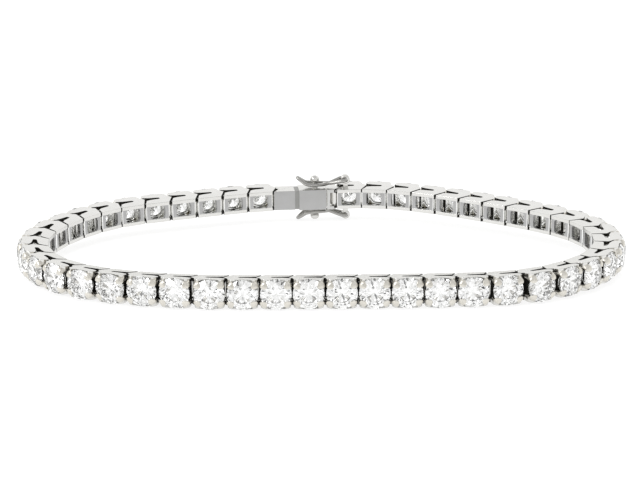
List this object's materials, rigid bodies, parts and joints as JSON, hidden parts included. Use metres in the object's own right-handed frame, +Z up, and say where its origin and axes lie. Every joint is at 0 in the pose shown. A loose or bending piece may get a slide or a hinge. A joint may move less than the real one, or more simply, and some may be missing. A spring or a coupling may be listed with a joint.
{
  "type": "tennis bracelet",
  "caption": "White-gold line bracelet of hinged links, each set with a round brilliant, closed by a box clasp with figure-eight safety catches and standing on its edge.",
  "frame": {"origin": "on the surface that the bracelet stands on, under the middle of the oval loop", "axes": "+X along the loop's long way, to the right seen from the front; -Y towards the front, with the clasp at the back, +Y; +Z up from the surface"},
  "size_m": [0.0726, 0.0484, 0.006],
  "materials": {
    "white_gold": "rhodium-plated white gold, polished",
    "catch_gold": "polished white-gold wire",
    "diamond": "cut and polished colourless stone"
  },
  "bodies": {
    "bracelet": {"link_01": "white_gold", "link_02": "white_gold", "link_03": "white_gold", "link_04": "white_gold", "link_05": "white_gold", "link_06": "white_gold", "link_07": "white_gold", "link_08": "white_gold", "link_09": "white_gold", "link_10": "white_gold", "link_11": "white_gold", "link_12": "white_gold", "link_13": "white_gold", "link_14": "white_gold", "link_15": "white_gold", "link_16": "white_gold", "link_17": "white_gold", "link_18": "white_gold", "link_19": "white_gold", "link_20": "white_gold", "link_21": "white_gold", "link_22": "white_gold", "link_23": "white_gold", "link_24": "white_gold", "link_25": "white_gold", "link_26": "white_gold", "link_27": "white_gold", "link_28": "white_gold", "link_29": "white_gold", "link_30": "white_gold", "link_31": "white_gold", "link_32": "white_gold", "link_33": "white_gold", "link_34": "white_gold", "link_35": "white_gold", "link_36": "white_gold", "link_37": "white_gold", "link_38": "white_gold", "link_39": "white_gold", "link_40": "white_gold", "link_41": "white_gold", "link_42": "white_gold", "link_43": "white_gold", "link_44": "white_gold", "link_45": "white_gold", "link_46": "white_gold", "link_47": "white_gold", "clasp_box": "white_gold", "clasp_tongue": "white_gold"},
    "upper_catch": {"safety_catch_upper": "catch_gold"},
    "lower_catch": {"safety_catch_lower": "catch_gold"}
  },
  "joints": [
    {"name": "upper_catch_hinge", "type": "hinge", "parent": "bracelet", "child": "upper_catch", "pos_m": [0.00311, 0.02178, 0.00545], "axis": [-0.1034, 0.9942, 0.0285], "range_deg": [0, 110]},
    {"name": "lower_catch_hinge", "type": "hinge", "parent": "bracelet", "child": "lower_catch", "pos_m": [0.00311, 0.02192, 0.00065], "axis": [0.1034, -0.9942, -0.0285], "range_deg": [0, 110]}
  ]
}
